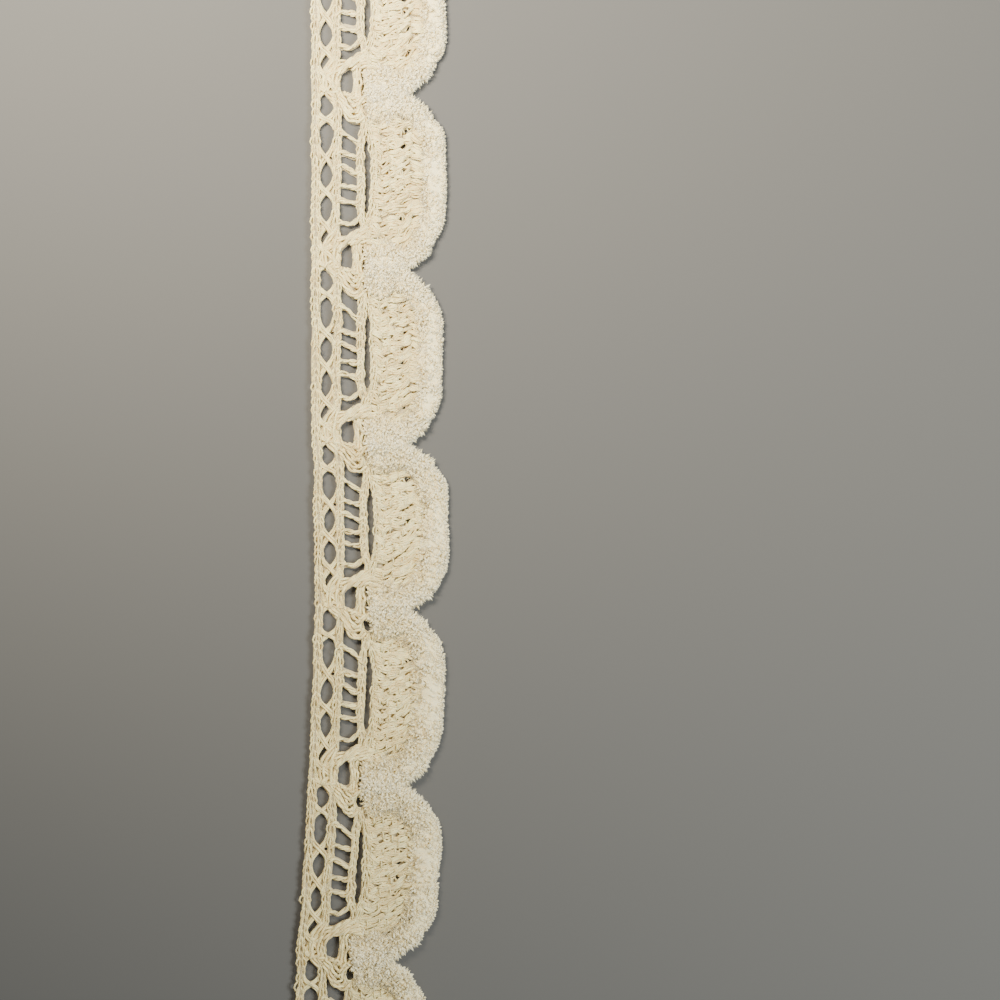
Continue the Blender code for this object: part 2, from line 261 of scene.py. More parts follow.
def plied_cotton(name, dark, light):
    """Colour: dark to light by each yarn's own shade and a noise of patches. Relief: a sine along the
    ply and a noise of fuzz."""
    made, tree, shader = finish_tree(name)
    place = add(tree, "ShaderNodeTexCoord").outputs["Object"]
    spots = {"Vector": place, "Scale": 1000 / PATCH_MM, "Detail": 3.0}
    patch = add(tree, "ShaderNodeTexNoise", spots).outputs["Fac"]
    shade = add(tree, "ShaderNodeAttribute", attribute_name="shade").outputs["Fac"]
    both = add(tree, "ShaderNodeMath", {0: patch, 1: shade}, operation="ADD").outputs[0]
    reach = {"Value": both, "From Min": 0.35, "From Max": 1.45}
    level = add(tree, "ShaderNodeMapRange", reach).outputs[0]
    ends = {"Factor": level, 6: linear(dark), 7: linear(light)}
    tone = add(tree, "ShaderNodeMix", ends, data_type="RGBA").outputs[2]
    tree.links.new(tone, shader.inputs["Base Color"])
    uv = add(tree, "ShaderNodeUVMap", uv_map="yarn").outputs["UV"]
    turn = (6 * np.pi, 2 * np.pi / PLY_MM, 0.0)  # three ridges stand round the yarn
    angle = add(tree, "ShaderNodeVectorMath", {0: uv, 1: turn}, operation="DOT_PRODUCT")
    ply = add(tree, "ShaderNodeMath", {0: angle.outputs["Value"]}, operation="SINE").outputs[0]
    hair = {"Vector": place, "Scale": 1000 / FUZZ_MM, "Detail": 2.0}
    fuzz = add(tree, "ShaderNodeTexNoise", hair).outputs["Fac"]
    relief = add(tree, "ShaderNodeMath", {0: fuzz, 1: 1.5, 2: ply}, operation="MULTIPLY_ADD")
    depth = {"Height": relief.outputs[0], "Strength": 0.8, "Distance": 0.08 * MM}
    bump = add(tree, "ShaderNodeBump", depth).outputs[0]
    tree.links.new(bump, shader.inputs["Normal"])
    shader.inputs["Roughness"].default_value = 0.9
    shader.inputs["IOR"].default_value = 1.5
    shader.inputs["Specular IOR Level"].default_value = 0.25
    shader.inputs["Sheen Weight"].default_value = 0.15
    shader.inputs["Sheen Roughness"].default_value = 0.6
    shader.inputs["Subsurface Weight"].default_value = 0.3
    shader.inputs["Subsurface Radius"].default_value = (1.0, 0.8, 0.6)
    shader.inputs["Subsurface Scale"].default_value = 0.4 * MM
    return made


cotton = plied_cotton("unbleached_plied_cotton", "#E3CB92", "#FFECB2")
# The same yarn, darker and greyer: painted shade for the creases deep between the stitches, where
# little light comes back out.
painted_shade_cotton = plied_cotton("unbleached_cotton_painted_shade", "#B0A284", "#D8C9A4")
print("cotton twist: a ridge each", PLY_MM, "mm")

# %% [markdown]
# ## The corded heading
# A crochet machine makes each long cord as a chain: every stitch is a loop drawn through the loop
# before it, so the face shows a row of narrow Vs. One stitch is drawn once, as a short table, and
# then laid 168 times along each of the three cords.

# %% The chain stitch
YARN = 0.23
STITCH_LONG = 1.7
# Half of one loop: share of the half width, share of the stitch's length, height in mm.
#             side   along  height
HALF_LOOP = [
    (0.12, -0.50, 0.60),
    (0.34, 0.00, 1.00),
    (0.92, 0.50, 1.38),
    (1.00, 1.00, 1.32),
    (0.60, 1.45, 0.90),
    (0.00, 1.62, 0.62),
]
half = np.array(HALF_LOOP)
LOOP = np.concatenate([half, (half * [-1, 1, 1])[-2::-1]])


def chain(across_at, width, long=STITCH_LONG, lift=0.0, count=12, yarn=YARN):
    """Loops along a cord, each of two strands: an outer one and one half as wide inside it.

    A strand's side, along and height are the table's, from its loop's own start, and a little off.
    The first loop starts a little inside one cut, and the last one ends inside the other.
    """
    start = np.arange(CUTS[0] + 0.6, CUTS[1] - 1.6 * long, long)
    start = np.tile(start + rng.normal(0, 0.06, len(start)), 2)[:, None]
    nest = np.repeat([1.0, 0.5], len(start) // 2)[:, None]
    loop = smooth(LOOP, count)
    wide = (width / 2 - yarn) * nest * rng.normal(1, 0.12, (len(start), 1))
    along = start + loop[:, 1] * long + rng.normal(0, 0.14, (len(start), 1))
    across = across_at(along) + loop[:, 0] * wide + rng.normal(0, 0.1, (len(start), 1))
    height = loop[:, 2] + lift + rng.normal(0, 0.12, (len(start), 1))
    return lay(np.stack([across, along, height], -1)), yarn


def shades(shape, low, high):
    """One shade per yarn, repeated for each of its points."""
    each = rng.uniform(low, high, shape["owner"].max() + 1)
    return {"shade": each[shape["owner"]]}


# %% The three cords
# The inner cord, across and along from the notch.
INNER_CORD = np.array(
    [(12.6, -10.1), (11.9, -7.0), (10.8, -4.2), (10.7, 0.0), (10.9, 2.3), (11.6, 4.7),
     (12.4, 7.3), (11.9, 10.6), (11.6, 13.4), (11.6, 27.5), (12.6, 31.0)]
)


def selvage_at(along):
    """The straight edge's cord."""
    return np.full_like(along, 1.05)


def middle_at(along):
    """The second cord, with a slow sway."""
    return 6.0 + 0.15 * np.sin(2 * np.pi * along / REPEAT)


def inner_at(along):
    """The third cord, which pulls in at each notch."""
    down = (along + 10.1) % REPEAT - 10.1
    return np.interp(down, INNER_CORD[:, 1], INNER_CORD[:, 0])


# Where each cord runs, and how wide it is.
CORDS = {
    "selvage_cord": (selvage_at, 2.3),
    "middle_cord": (middle_at, 2.15),
    "inner_cord": (inner_at, 2.1),
}
for label, (where, width) in CORDS.items():
    paths, yarn = chain(where, width)
    shape = tubes(paths, yarn, 5)
    piece(label, shape, cotton, shades(shape, 0.0, 1.0))

# A straight inlaid thread fills each cord, so no light falls between the two sides of its stitches.
along = np.linspace(CUTS[0] + 0.4, CUTS[1] - 0.4, 400)
height = np.full(len(along), 0.85)
cores = [lay(np.stack([where(along), along, height], -1)) for where, _ in CORDS.values()]
shape = tubes(np.array(cores), 0.42)
# Painted shade: the darker, greyer cotton at its darkest shades, for the creases between each cord's
# limbs.
piece("inlaid_threads", shape, painted_shade_cotton, shades(shape, 0.0, 0.3))

# %% [markdown]
# ## Eyelets and ladder
# Between the first two cords, pairs of yarn cross over and leave pointed eyelets. Between the next
# two, single rungs of doubled yarn make a ladder. Both are the same job: a short path, copied for
# each repeat and doubled, so that two strands wind round each other.


# %% Strands in every repeat
def in_every_repeat(paths, jitter, first=0, last=SCALLOPS + 1, group=1, shift=0.0):
    """Paths of one repeat, laid in all the repeats that the two cuts leave, each a little different.

    Every path moves by its own chance, and the paths of one group by a common one along the strip.
    """
    paths = np.asarray(paths, float)
    start = REPEAT * np.arange(first, last)
    moved = paths[None] + np.stack([0 * start, start, 0 * start], -1)[:, None, None]
    sway = rng.normal(0, jitter, (len(start), len(paths), 1, 3)) * [0.6, 1.0, 0.3]
    common = rng.normal(0, shift, (len(start), len(paths) // group, 1))
    sway[..., 1] += np.repeat(common, group, 1)
    moved = (moved + sway).reshape(-1, *paths.shape[1:])
    middle = moved[:, :, 1].mean(1)
    return moved[(middle > CUTS[0]) & (middle < CUTS[1])]


def doubled(path, apart, turns, count, flare=0.0):
    """Two strands that wind round a path, half a turn between them.

    offset = apart * (cos, 0.8 sin) of a steady turn, wider by flare * (distance from the middle) ^ 4
    toward the ends.
    """
    line = smooth(path, count)
    angle = np.linspace(0, 2 * np.pi * turns, count) + np.array([[0.0], [np.pi]])
    apart = apart * (1 + flare * np.linspace(-1, 1, count) ** 4)
    offset = np.stack([0 * angle, apart * np.cos(angle), 0.8 * apart * np.sin(angle)], -1)
    return line + offset


# %% Crossing yarns
# Each crossing of a repeat: how far along it is, and how far its strands spread.
CROSSINGS = [(-0.4, 1.0), (6.3, 1.2), (15.3, 2.2), (23.3, 2.1), (31.3, 2.2), (37.4, 1.8)]
strands = []
for down, spread in CROSSINGS:
    reach = 0.72 * spread
    for way, height in ((1, 1.15), (-1, 0.85)):
        for shift in (-0.2 * spread, 0.2 * spread):
            across = [1.7, 2.2, 3.45, 4.75, 5.3]
            along = down + shift + way * reach * np.array([-2.2, -1.05, 0.0, 1.05, 2.2])
            path = np.stack([across, along, height + np.array([-0.3, 0.0, 0.1, 0.0, -0.3])], 1)
            strands.extend(doubled(path, 0.26, 0.5, 14))
shape = tubes(lay(in_every_repeat(strands, 0.08)), 0.29, 5)
piece("eyelet_yarns", shape, cotton, shades(shape, 0.2, 1.0))

# %% Ladder rungs
# Each rung's path across and along, from the middle cord to the inner one.
RUNGS = [
    [(5.9, 8.6), (7.2, 9.2), (9.0, 10.5), (11.9, 13.0)],
    [(5.9, 14.1), (8.2, 14.8), (9.8, 15.4), (11.8, 15.6)],
    [(5.9, 17.2), (7.8, 17.8), (9.6, 19.0), (11.8, 19.9)],
    [(5.9, 21.9), (7.9, 22.1), (9.8, 22.5), (11.8, 22.6)],
    [(5.9, 24.8), (7.6, 25.3), (9.8, 25.8), (11.8, 25.9)],
    [(5.9, 29.9), (7.8, 30.7), (9.2, 30.9), (10.6, 30.0), (11.9, 28.4)],
]
strands = []
for rung in RUNGS:
    path = [(a, d, 1.15 + 0.2 * np.sin(i)) for i, (a, d) in enumerate(smooth(rung, 5))]
    strands.extend([*doubled(path, 0.36, 1.5, 18, 2.4), *doubled(path, 0.24, 1.2, 18, 1.8)])
shape = tubes(lay(in_every_repeat(strands, 0.14, group=4, shift=0.3)), 0.27, 5)
piece("ladder_rungs", shape, cotton, shades(shape, 0.2, 1.0))

# %% [markdown]
# ## The bridges
# At every notch the yarns of the scallop come together and are carried to the heading in nested
# loops that hang like a garland. Above the notch the loops rise, below it they sag, and round the
# small hole between them the second cord splits and swells. Each loop is one path of a short table.

# %% Bridge loops
# Across and along of every path: those that sag below the notch, then those that rise above it.
GARLAND = [
    [(6.2, 1.6), (7.2, 3.4), (8.2, 5.4), (9.8, 6.9), (11.4, 7.0), (12.6, 6.4)],
    [(6.4, 0.8), (7.6, 2.6), (8.6, 4.6), (9.9, 5.8), (11.2, 5.5), (11.7, 4.4)],
    [(6.8, 0.2), (8.0, 1.8), (9.1, 3.6), (10.2, 4.5), (11.1, 4.1), (11.4, 3.0)],
    [(7.6, 0.3), (8.8, 1.2), (9.7, 2.7), (10.6, 3.3), (11.4, 2.7), (12.6, 1.9)],
    [(8.4, 0.7), (9.6, 0.9), (10.4, 1.7), (11.2, 2.0), (12.2, 1.5), (13.4, 1.0)],
    [(5.6, 33.6), (7.2, 34.2), (8.8, 33.9), (10.2, 32.8), (11.9, 32.4), (13.8, 32.2)],
    [(5.8, 34.8), (7.2, 35.0), (8.8, 34.4), (10.4, 33.3), (12.0, 32.9), (14.0, 33.0)],
    [(6.0, 36.2), (7.2, 35.8), (8.7, 35.0), (10.4, 33.9), (12.2, 33.6), (14.2, 34.0)],
    [(6.3, 37.4), (7.2, 36.2), (8.6, 35.3), (10.4, 34.5), (12.2, 34.2), (14.4, 35.0)],
    [(9.4, 35.4), (10.6, 35.2), (12.0, 34.9), (13.6, 35.2), (15.2, 36.2)],
]
COLUMN = [
    [(10.1, 34.6), (10.0, 36.6), (10.4, 38.8), (10.1, 40.8), (9.6, 42.2)],
    [(10.9, 34.4), (10.7, 36.6), (11.0, 38.8), (10.7, 41.0), (10.8, 42.8)],
    [(11.8, 34.6), (11.5, 36.8), (11.7, 39.0), (11.5, 41.2), (12.0, 43.2)],
]
SWELL = [
    [(5.9, 31.4), (4.6, 33.4), (3.1, 35.6), (2.8, 38.0), (3.1, 40.4), (4.5, 42.5), (5.8, 43.9)],
    [(5.6, 32.6), (4.7, 34.4), (3.7, 36.4), (3.5, 38.4), (3.8, 40.4), (4.9, 41.9), (6.1, 43.0)],
    [(6.2, 33.0), (5.6, 35.0), (5.2, 37.2), (5.1, 39.2), (5.2, 41.0), (5.8, 42.6)],
    [(6.4, 34.5), (6.2, 36.2), (6.0, 38.4), (5.9, 40.2), (6.5, 41.6)],
    [(3.0, 36.3), (3.9, 36.9), (4.9, 37.1), (6.2, 36.2)],
    [(3.1, 40.7), (4.0, 40.5), (5.0, 40.7), (6.5, 41.4)],
]
strands = []
for i, loop in enumerate(GARLAND):
    level = 1.3 + 0.12 * (i % 5)
    path = [(a, d, level + 0.25 * np.sin(np.pi * k / 6)) for k, (a, d) in enumerate(smooth(loop, 7))]
    strands.extend(doubled(path, 0.36, 2.1, 20))
for i, loop in enumerate(SWELL + COLUMN):
    path = [(a, d, 1.15 + 0.18 * (i % 3)) for a, d in smooth(loop, 7)]
    strands.extend(doubled(path, 0.33, 1.5, 20))
shape = tubes(lay(in_every_repeat(strands, 0.16, -1, 9)), 0.31)
piece("bridge_loops", shape, cotton, shades(shape, 0.1, 1.0))

# %% [markdown]
# ## The knitted scallops
# A scallop's body is weft knitted on its side: short bunches of soft strands stand in columns that
# lean one way, then the other, and each bunch dives under the next column. Near the middle of the
# body small slanted pits stay open in every course, and the strands part round them.

# %% Where the stitches lie
COURSE = REPEAT / 12
BODY_MIDDLE = 20.2  # along, from the notch
BODY_HALF = 16.9  # its first and last stitches lie this far from about the middle
# The body's left edge, across and along.
EDGE = np.array(
    [(11.9, 2.2), (12.3, 5.0), (12.9, 8.2), (13.7, 11.5), (14.0, 15.0), (14.1, 24.0), (13.7, 28.0),
     (12.9, 31.0), (12.2, 33.6), (12.6, 36.6)]
)
# One column of stitches a row: across from and to, how far it runs down, its bow, and its start as a
# share of half a bunch.
COLUMNS = [
    (14.6, 17.0, 0.9, 0.00, 0.0),
    (16.2, 18.7, -1.0, 0.10, 0.5),
    (17.9, 20.4, -0.3, -0.10, 0.0),
    (19.6, 22.3, -0.9, -0.20, 0.5),
    (21.5, 23.9, -1.6, 0.10, 0.0),
    (23.4, 26.6, 0.7, -0.10, 0.5),
]
SOFTER = np.linspace(1.1, 0.6, SCALLOPS)  # the stitches lie flatter toward the second cut
# One pit a row: along, across and its scallop. The pits of the left row are smaller.
PIT_ROWS = [22.0, 16.8]
PITS = np.meshgrid(5.4 + COURSE * np.arange(9), PIT_ROWS, np.arange(SCALLOPS))
PITS = np.stack(PITS, -1).reshape(-1, 3)
left_row = PITS[:, 1] == PIT_ROWS[1]
PITS[:, 0] += np.where(left_row, 1.5, 0.0)
PIT_SIZE = np.where(left_row, 0.5, 1.0) * rng.uniform(0.4, 1.2, len(PITS))
PIT_SIZE = PIT_SIZE * SOFTER[PITS[:, 2].astype(int)]
PITS[:, :2] += rng.normal(0, 0.3, (len(PITS), 2))


def edge_at(along):
    """The body's left edge, from its own table in every repeat."""
    return np.interp(along % REPEAT, EDGE[:, 1], EDGE[:, 0])


def pits(across, down, scallop):
    """How far a point is pushed down the strip and how deep it sinks by the pits of its scallop.

    s = (down - pit) + 0.5 (across - pit's), push = size * s / (|s| + 0.1) * exp(-(s / 0.9)^2 -
    (across / 0.8)^2), depth = size * exp(-(s / 0.4)^2 - (across / 0.8)^2), summed over the pits.
    """
    push, depth = np.zeros(across.shape), np.zeros(across.shape)
    for (row, column, own), size in zip(PITS, PIT_SIZE):
        x = across - column
        s = down - row + 0.5 * x
        here = size * (scallop == own)
        push += here * s / (np.abs(s) + 0.1) * np.exp(-((s / 0.9) ** 2) - (x / 0.8) ** 2)
        depth += here * np.exp(-((s / 0.4) ** 2) - (x / 0.8) ** 2)
    return push, depth


# %% Stitches
def stitches(column, pitch=0.58, each=3, count=6, radius=0.31):
    """The strands of one column in every scallop, in bunches shaped like a leaf, a shade to a bunch.

    A strand's place in its bunch is drawn in by 0.4 + 0.6 sin(pi t), so a bunch is tight at both
    ends. down = the body's middle + (middle + place + lean (t - 0.5) + bow sin(pi t) + a slight wave)
    * (1 - 0.3 ((across - 15) / 12.5) ^ 2.5), because a scallop narrows toward its rim. Height = 1.2 +
    0.5 sin(pi t), less to both sides of the bunch and in a pit. Left of 18 mm the strands follow the
    body's own edge.
    """
    a0, a1, lean, bow, phase = column
    rows = pitch * (np.arange(-30, 30) + 0.5 + phase * each / 2)
    scallop, row = (v.ravel()[:, None] for v in np.meshgrid(np.arange(SCALLOPS), rows, indexing="ij"))
    n = len(row)
    bunch = (np.arange(n) // each)[:, None]
    own = rng.normal(0, 1, (bunch.max() + 1, 5))[bunch[:, 0]]
    place = ((np.arange(n) % each) - (each - 1) / 2)[:, None] * pitch
    middle = row - place
    t = np.linspace(0, 1, count)[None]
    leaf = np.sin(np.pi * t)
    across = a0 + 0.2 * own[:, 4:] + rng.normal(0, 0.15, (n, 1))
    across = across + (a1 - a0 + rng.normal(0, 0.2, (n, 1))) * t
    down = middle + place * (0.4 + 0.6 * leaf) * (1 + 0.08 * own[:, :1]) + 0.18 * own[:, 1:2]
    down = down + (lean + 0.45 * own[:, 2:3] + rng.normal(0, 0.2, (n, 1))) * (t - 0.5)
    down = down + (bow + 0.12 * own[:, :1]) * leaf
    wave, start = rng.uniform(1.2, 2.4, (n, 1)), rng.uniform(0, 6, (n, 1))
    down = down + 0.09 * np.sin(2 * np.pi * across / wave + start)
    down = BODY_MIDDLE + down * (1 - 0.3 * np.clip((across - 15) / 12.5, 0, 1) ** 2.5)
    push, depth = pits(across, down, scallop)
    relief = 0.5 * leaf - 0.25 * (place / pitch) ** 2 * leaf + 0.16 * own[:, 3:4]
    relief = relief + rng.normal(0, 0.1, (n, 1)) - 0.7 * depth
    high = 1.2 + relief * SOFTER[scallop]
    fit = np.clip((across - 14.0) / 4, 0, 1)
    across = across * fit + (across + edge_at(down) - 13.9) * (1 - fit)
    keep = np.abs(down.mean(1) - 20.0) < BODY_HALF
    paths = lay(np.stack([across, down + push + REPEAT * scallop, high], -1), scallop=scallop)
    shade = rng.uniform(0.0, 1.0, bunch.max() + 1)[bunch[:, 0]] + rng.normal(0, 0.25, n)
    shade = np.clip(shade, 0, 1)[keep]
    shape = tubes(paths[keep], radius * rng.normal(1, 0.12, (keep.sum(), 1)), 5)
    return shape, {"shade": shade[shape["owner"]]}


for number, column in enumerate(COLUMNS):
    shape, fields = stitches(column)
    piece(f"stitch_column_{number + 1}", shape, cotton, fields)

# %% Turning loops and binding stitches
TURN_LONG = 1.75
paths, yarn = chain(lambda along: edge_at(along) + 0.75, 2.1, TURN_LONG, lift=0.2, yarn=0.22)
# The loops end where the bridges begin.
keep = np.abs(np.arange(len(paths) // 2) * TURN_LONG % REPEAT - 20.0) < 17.0
shape = tubes(paths[np.tile(keep, 2)], yarn, 5)
piece("turning_loops", shape, cotton, shades(shape, 0.2, 1.0))

bind = [
    smooth([(a, d, 1.5), (a + 0.2, d + 0.7, 1.95), (a + 0.1, d + 1.5, 1.5)], 7)
    for a in (15.8, 18.1, 20.6)
    for d in 4.5 + COURSE * np.arange(9)
]
shape = tubes(lay(in_every_repeat(bind, 0.45)), 0.2, 5)
piece("binding_stitches", shape, cotton, shades(shape, 0.6, 1.0))

# %% [markdown]
# ## The cloth under the yarns
# Seen from above, light must not fall through between two strands of one cord. A thin closed cloth
# lies under them with the trim's true outline and its open gaps. It is a grid whose cells are kept
# where a distance field says that there is yarn, with the rim moved onto the field's zero line.

# %% The distance field of one repeat
CELLS = 66  # along one repeat
CELL = REPEAT / CELLS
# The outline of one body, across and along from the notch.
BODY = np.array(
    [(11.9, 3.1), (16.1, 3.1), (20.3, 3.4), (23.6, 4.9), (26.0, 8.6), (26.8, 13.4), (26.8, 25.9),
     (26.0, 30.1), (23.6, 33.8), (20.3, 35.8), (16.1, 36.7), (12.3, 36.1), (11.9, 33.6), (12.8, 29.8),
     (13.8, 27.0), (13.9, 20.0), (13.9, 12.9), (13.0, 11.0), (11.9, 8.2)]
)


def to_line(points, line):
    """Distance of every point to a run of straight pieces: the least of those to each piece."""
    best = np.full(points.shape[:-1], 1e9)
    for a, b in zip(line[:-1], line[1:]):
        t = np.clip(((points - a) @ (b - a)) / max((b - a) @ (b - a), 1e-9), 0, 1)
        best = np.minimum(best, np.linalg.norm(points - (a + t[..., None] * (b - a)), axis=-1))
    return best


def inside(points, ring):
    """Even or odd count of the ring's sides that a level ray crosses."""
    odd = np.zeros(points.shape[:-1], bool)
    for a, b in zip(ring, np.roll(ring, -1, 0)):
        crosses = (a[1] > points[..., 1]) != (b[1] > points[..., 1])
        at = a[0] + (points[..., 1] - a[1]) / (b[1] - a[1] + 1e-12) * (b[0] - a[0])
        odd ^= crosses & (points[..., 0] < at)
    return odd


def field_of_repeat(points):
    """Below zero where there is yarn: the least of all distances less half of each yarn's width."""
    best = np.full(points.shape[:-1], 1e9)
    along = np.arange(-REPEAT, 2 * REPEAT + 1, 1.5)
    cords = ((selvage_at, 1.0), (middle_at, 0.9), (inner_at, 0.85))
    lines = [(np.stack([where(along), along], 1), half_width) for where, half_width in cords]
    for turn in (-REPEAT, 0.0, REPEAT):
        for down, spread in CROSSINGS:
            for reach in (0.8 * spread, -0.8 * spread):
                crossing = np.array([(1.6, down - reach), (3.45, down), (5.4, down + reach)])
                lines.append((crossing + [0, turn], 0.5))
        lines += [(np.array(r) + [0, turn], 0.42) for r in RUNGS]
        lines += [(np.array(g) + [0, turn], 0.5) for g in GARLAND + SWELL + COLUMN]
        ring = BODY + [0, turn]
        body = to_line(points, np.concatenate([ring, ring[:1]]))
        best = np.minimum(best, np.where(inside(points, ring), -body, body))
    for line, half_width in lines:
        best = np.minimum(best, to_line(points, line) - half_width)
    return best


# %% The cloth
columns = np.arange(-0.5, 28.0, CELL)
rows = CUTS[0] + CELL * np.arange(SCALLOPS * CELLS + 1)
one = np.stack(np.meshgrid(columns, rows[:CELLS]), -1)
field = field_of_repeat(one)
field = np.concatenate([np.tile(field, (SCALLOPS, 1)), field[:1]])
grid = np.stack(np.meshgrid(columns, rows), -1)
depth = pits(grid[..., 0], grid[..., 1] % REPEAT, np.floor(grid[..., 1] / REPEAT))[1]
field = np.maximum(field, 1.4 * (depth - 0.25))
for hole in PARTED:
    x, s, radius = from_hole(grid[..., 0], grid[..., 1], hole)
    field = np.maximum(field, 0.65 * radius - np.hypot(x, s))
slope = unit(np.stack(np.gradient(field, CELL)[::-1], -1))
middle = (field[:-1, :-1] + field[1:, :-1] + field[:-1, 1:] + field[1:, 1:]) / 4
keep = middle < 0
near = np.pad(keep, 1)
touched = near[:-1, :-1] | near[1:, :-1] | near[:-1, 1:] | near[1:, 1:]
rim = touched & ~(near[:-1, :-1] & near[1:, :-1] & near[:-1, 1:] & near[1:, 1:])
move = np.where(rim, np.clip(field, -0.6 * CELL, 0.6 * CELL), 0)[..., None] * slope
move[[0, -1], :, 1] = 0
grid = grid - move


def closed_cloth(grid, keep, top, bottom):
    """Two copies of the kept cells, upper and lower, joined by a wall along every open side."""
    rows, cols = keep.shape
    number = np.arange((rows + 1) * (cols + 1)).reshape(rows + 1, cols + 1)
    count = number.size
    r, c = np.nonzero(keep)
    upper = np.stack([number[r, c], number[r + 1, c], number[r + 1, c + 1], number[r, c + 1]], 1)
    lower = upper[:, ::-1] + count
    near = np.pad(keep, 1)
    walls = []
    for dr, dc, a, b in ((-1, 0, 3, 0), (1, 0, 1, 2), (0, -1, 0, 1), (0, 1, 2, 3)):
        open_side = ~near[r + 1 + dr, c + 1 + dc]
        one, two = upper[open_side, a], upper[open_side, b]
        walls.append(np.stack([two, one, one + count, two + count], 1))
    quads = np.concatenate([upper, lower, *walls])
    points = np.concatenate([lay(np.dstack([grid, level])).reshape(-1, 3) for level in (top, bottom)])
    used, index = np.unique(quads, return_inverse=True)
    return {"points": points[used], "quads": index.reshape(quads.shape), "tris": np.zeros((0, 3), int)}


body_share = np.clip((grid[..., 0] - 14.2) / 1.2, 0, 1) * np.clip(-field / 1.0, 0, 1)
top = 0.62 + 0.4 * body_share - 1.6 * np.minimum(depth, 0.45) * body_share
shape = closed_cloth(grid, keep, top, np.full(top.shape, 0.12))
# The cloth takes the darker, greyer cotton: painted shade where it shows between the yarns.
cloth = piece("knitted_cloth", shape, painted_shade_cotton, {"shade": np.full(len(shape["points"]), 0.5)})

# %% [markdown]
# ## The chenille
# Chenille is cut pile held between two twisted core threads. It reads as white fur: no single hair
# shows, but its edge is ragged where it bends and smooth where it is straight. A lumpy band gives
# its body. Thick locks of clotted pile and tufts of fine tapered hairs give its surface and its
# outline.


# %% White pile
CLUMP_MM, NAP_MM = 1.6, 0.5  # clumps of whiter pile, the surface of the hairs


def cut_pile(name, white, cream):
    """Colour: cream to white by the piece's own field and a noise of clumps. Relief: a noise of nap."""
    made, tree, shader = finish_tree(name)
    place = add(tree, "ShaderNodeTexCoord").outputs["Object"]
    white_share = add(tree, "ShaderNodeAttribute", attribute_name="white").outputs["Fac"]
    grain = {"Vector": place, "Detail": 3.0, "Roughness": 0.7}
    clump = add(tree, "ShaderNodeTexNoise", {**grain, "Scale": 1000 / CLUMP_MM}).outputs["Fac"]
    mixed = add(tree, "ShaderNodeMath", {0: clump, 1: 1.6, 2: white_share}, operation="MULTIPLY_ADD")
    reach = {"Value": mixed.outputs[0], "From Min": 0.7, "From Max": 2.1}
    level = add(tree, "ShaderNodeMapRange", reach).outputs[0]
    ends = {"Factor": level, 6: linear(cream), 7: linear(white)}
    tone = add(tree, "ShaderNodeMix", ends, data_type="RGBA").outputs[2]
    tree.links.new(tone, shader.inputs["Base Color"])
    nap = add(tree, "ShaderNodeTexNoise", {**grain, "Scale": 1000 / NAP_MM}).outputs["Fac"]
    depth = {"Height": nap, "Strength": 0.3, "Distance": 0.2 * MM}
    bump = add(tree, "ShaderNodeBump", depth).outputs[0]
    tree.links.new(bump, shader.inputs["Normal"])
    shader.inputs["Roughness"].default_value = 0.95
    shader.inputs["IOR"].default_value = 1.5
    shader.inputs["Specular IOR Level"].default_value = 0.2
    shader.inputs["Sheen Weight"].default_value = 0.2
    shader.inputs["Sheen Roughness"].default_value = 0.5
    shader.inputs["Subsurface Weight"].default_value = 0.5
    shader.inputs["Subsurface Radius"].default_value = (1.0, 1.0, 1.0)
    shader.inputs["Subsurface Scale"].default_value = 0.4 * MM
    return made


pile_finish = cut_pile("white_cotton_chenille_pile", "#FFF3CE", "#EBD6A0")

# %% The pile's band
# The centre line of one scallop's pile: across, along from the notch, and how wide it is there.
CHENILLE = np.array(
    [(13.0, 1.0, 0.4), (14.6, 1.2, 1.0), (17.0, 1.4, 1.12), (19.0, 1.6, 1.03), (20.6, 2.1, 0.86),
     (22.0, 3.0, 0.74), (23.4, 4.0, 0.74), (25.0, 5.4, 0.82), (26.8, 7.5, 0.94), (28.4, 10.0, 1.06),
     (28.7, 13.0, 1.12), (28.8, 16.5, 1.12), (28.8, 23.0, 1.12), (28.7, 27.5, 1.12), (28.4, 30.7, 1.06),
     (26.9, 34.1, 0.94), (25.2, 36.6, 0.82), (23.4, 38.0, 0.74), (21.9, 39.0, 0.74), (20.4, 39.8, 0.86),
     (19.0, 40.2, 1.03), (17.0, 40.4, 1.12), (14.4, 40.6, 1.0), (13.2, 40.8, 0.7)]
)
BAND_STEPS, BAND_SIDES = 200, 20
OUTWARD_REACH = 2.3  # mm, where the line's own width is 1
NOTCH_REACH = 5.0  # the same inward over the cotton, up to 19 mm across
OVER_COTTON = np.array([2.6, 2.4, 2.9, 3.4, 4.2, 3.8, 3.6])  # the same from 23 mm, for each scallop
STRAIGHT_FROM = 27.3  # past this across, the pile runs straight and lies flatter
WAVES = rng.normal(0, 1, (14, 2))
WAVES = unit(WAVES) * 2 * np.pi / rng.uniform(1.1, 2.6, (14, 1))
PHASES = rng.uniform(0, 2 * np.pi, 14)
line = smooth(CHENILLE, BAND_STEPS)
ahead = unit(np.gradient(line[:, :2], axis=0))
outward = np.stack([ahead[:, 1], -ahead[:, 0]], 1)


def ripple(across, along):
    """Lumps of pile: 2.6 * the mean of 14 cosines, whose waves of 1.1 to 2.6 mm run every way."""
    angle = across[..., None] * WAVES[:, 0] + along[..., None] * WAVES[:, 1] + PHASES
    return 2.6 * np.cos(angle).mean(-1)


def on_line(values, step):
    """Numbers given at every step of the band, read between the steps."""
    columns = [np.interp(step, np.arange(BAND_STEPS), column) for column in values.T]
    return np.stack(columns, -1)


def inward_reach(across, scallop):
    """How far the pile lies over the cotton: the reach of the notches up to 19 mm across, falling to
    the scallop's own at 23 mm and beyond."""
    least = OVER_COTTON[scallop]
    return least + (NOTCH_REACH - least) * np.clip((23 - across) / 4, 0, 1)


